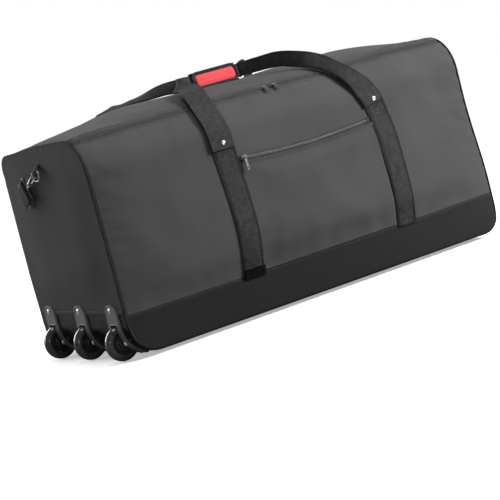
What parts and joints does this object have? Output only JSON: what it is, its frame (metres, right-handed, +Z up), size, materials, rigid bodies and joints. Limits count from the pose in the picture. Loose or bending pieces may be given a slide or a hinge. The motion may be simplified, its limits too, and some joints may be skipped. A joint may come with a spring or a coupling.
{
  "type": "rolling duffel bag",
  "caption": "Long soft rectangular duffel bag with rounded top edges, corner wheels at one end, a zip top, a zipped front pocket, two carry straps joined by a wrapped grip, and a clip.",
  "frame": {"origin": "on the flat underside of the base, midway between the two end seams, and midway between front and back as measured at the top; the wheels reach 7.5 mm lower", "axes": "+X along the length, towards the end with the pull handle, so the wheels are at -X; +Z up; the front with the zipped pocket faces -Y"},
  "size_m": [0.9652, 0.435, 0.4966],
  "materials": {
    "cloth": "woven polyester, dark grey, matte with a soft sheen",
    "end_cloth": "woven polyester, dark grey, matte",
    "band": "woven polyester, near black, matte",
    "patch": "coated fabric, blue-black, glossy",
    "webbing": "woven webbing, near black, matte",
    "piping": "bound cord, black, matte",
    "zip": "coil zip tape, dark grey",
    "board": "stiff plastic sheet, black",
    "plate": "moulded plastic, grey, satin",
    "steel": "bright zinc-plated steel",
    "dark_metal": "gunmetal-plated zinc alloy",
    "tyre": "polyurethane, black, glossy",
    "hub": "moulded plastic, black",
    "red": "padded fabric, bright red, black binding"
  },
  "bodies": {
    "bag": {"front_panel": "cloth", "back_panel": "cloth", "front_pocket_panel": "cloth", "wheel_end_panel": "end_cloth", "handle_end_panel": "end_cloth", "front_base_band": "band", "back_base_band": "band", "base_panel": "band", "wheel_corner_patch": "patch", "front_strap_left": "webbing", "front_strap_right": "webbing", "back_strap_left": "webbing", "back_strap_right": "webbing", "clip_tab": "webbing", "pull_handle": "webbing", "wheel_end_piping": "piping", "handle_end_piping": "piping", "main_zip_tape": "zip", "pocket_zip_tape": "zip", "base_board": "board", "wheel_housing_1": "plate", "wheel_housing_2": "plate", "wheel_housing_3": "plate", "front_rivet_left": "steel", "front_rivet_right": "steel", "axle_1": "steel", "axle_nut_1": "steel", "upper_rivet_1": "steel", "lower_rivet_1": "steel", "axle_2": "steel", "axle_nut_2": "steel", "upper_rivet_2": "steel", "lower_rivet_2": "steel", "axle_3": "steel", "axle_nut_3": "steel", "upper_rivet_3": "steel", "lower_rivet_3": "steel"},
    "wheel_1": {"tyre_1": "tyre", "hub_1": "hub"},
    "wheel_2": {"tyre_2": "tyre", "hub_2": "hub"},
    "wheel_3": {"tyre_3": "tyre", "hub_3": "hub"},
    "main_left_slider_body": {"main_left_slider": "dark_metal"},
    "main_left_pull_body": {"main_left_pull": "dark_metal"},
    "main_right_slider_body": {"main_right_slider": "dark_metal"},
    "main_right_pull_body": {"main_right_pull": "dark_metal"},
    "pocket_slider_body": {"pocket_slider": "dark_metal"},
    "pocket_pull_body": {"pocket_pull": "dark_metal"},
    "grip_flap_body": {"grip_flap": "red"},
    "d_ring_body": {"d_ring": "dark_metal"},
    "snap_hook_body": {"snap_hook": "dark_metal"},
    "hook_gate_body": {"hook_gate": "steel"},
    "strap_eye_body": {"strap_eye": "dark_metal"},
    "strap_stub_body": {"strap_stub": "webbing"},
    "strap_slider_body": {"strap_slider": "dark_metal"},
    "carry_handles": {"front_handle": "webbing", "back_handle": "webbing", "grip_wrap": "webbing"}
  },
  "joints": [
    {"name": "wheel_1_spin", "type": "hinge", "parent": "bag", "child": "wheel_1", "pos_m": [-0.451, -0.133, 0.028], "axis": [0, 1, 0], "continuous": true},
    {"name": "wheel_2_spin", "type": "hinge", "parent": "bag", "child": "wheel_2", "pos_m": [-0.451, 0.008, 0.028], "axis": [0, 1, 0], "continuous": true},
    {"name": "wheel_3_spin", "type": "hinge", "parent": "bag", "child": "wheel_3", "pos_m": [-0.451, 0.149, 0.028], "axis": [0, 1, 0], "continuous": true},
    {"name": "main_left_zip", "type": "slide", "parent": "bag", "child": "main_left_slider_body", "axis": [1, 0, 0], "range_m": [-0.408, 0]},
    {"name": "main_left_pull_hinge", "type": "hinge", "parent": "main_left_slider_body", "child": "main_left_pull_body", "pos_m": [-0.012, -0.15347, 0.42734], "axis": [-1, 0, 0], "range_deg": [0, 150]},
    {"name": "main_right_zip", "type": "slide", "parent": "bag", "child": "main_right_slider_body", "axis": [1, 0, 0], "range_m": [0, 0.419]},
    {"name": "main_right_pull_hinge", "type": "hinge", "parent": "main_right_slider_body", "child": "main_right_pull_body", "pos_m": [0.012, -0.15347, 0.42735], "axis": [-1, 0, 0], "range_deg": [0, 150]},
    {"name": "pocket_zip", "type": "slide", "parent": "bag", "child": "pocket_slider_body", "axis": [1, 0, 0], "range_m": [0, 0.3]},
    {"name": "pocket_pull_hinge", "type": "hinge", "parent": "pocket_slider_body", "child": "pocket_pull_body", "pos_m": [-0.128, -0.21166, 0.30674], "axis": [-1, 0, 0], "range_deg": [0, 150]},
    {"name": "handle_lift", "type": "slide", "parent": "bag", "child": "carry_handles", "axis": [0, 0, 1], "range_m": [0, 0.03]},
    {"name": "grip_flap_hinge", "type": "hinge", "parent": "carry_handles", "child": "grip_flap_body", "pos_m": [0, -0.00822, 0.48789], "axis": [-1, 0, 0], "range_deg": [0, 140]},
    {"name": "d_ring_flip", "type": "hinge", "parent": "bag", "child": "d_ring_body", "pos_m": [-0.4655, 0.016, 0.3805], "axis": [0, 1, 0], "range_deg": [0, 70]},
    {"name": "hook_swing", "type": "hinge", "parent": "d_ring_body", "child": "snap_hook_body", "pos_m": [-0.4655, 0.016, 0.379], "axis": [1, 0, 0], "range_deg": [-100, 4]},
    {"name": "gate_hinge", "type": "hinge", "parent": "snap_hook_body", "child": "hook_gate_body", "pos_m": [-0.4715, 0.05211, 0.3598], "axis": [0, 0.4695, 0.8829], "range_deg": [0, 20], "stiffness_Nm_per_rad": 0.02, "springref_deg": -20.05},
    {"name": "eye_swivel", "type": "hinge", "parent": "snap_hook_body", "child": "strap_eye_body", "pos_m": [-0.4655, 0.06801, 0.35135], "axis": [0, 0.8829, -0.4695], "range_deg": [-8, 8]},
    {"name": "strap_stub_hinge", "type": "hinge", "parent": "strap_eye_body", "child": "strap_stub_body", "pos_m": [-0.4655, 0.08112, 0.34438], "axis": [0, 0.4695, 0.8829], "range_deg": [0, 60]},
    {"name": "strap_slider_slide", "type": "slide", "parent": "strap_stub_body", "child": "strap_slider_body", "axis": [0, 0.8829, -0.4695], "range_m": [0, 0.008]}
  ]
}
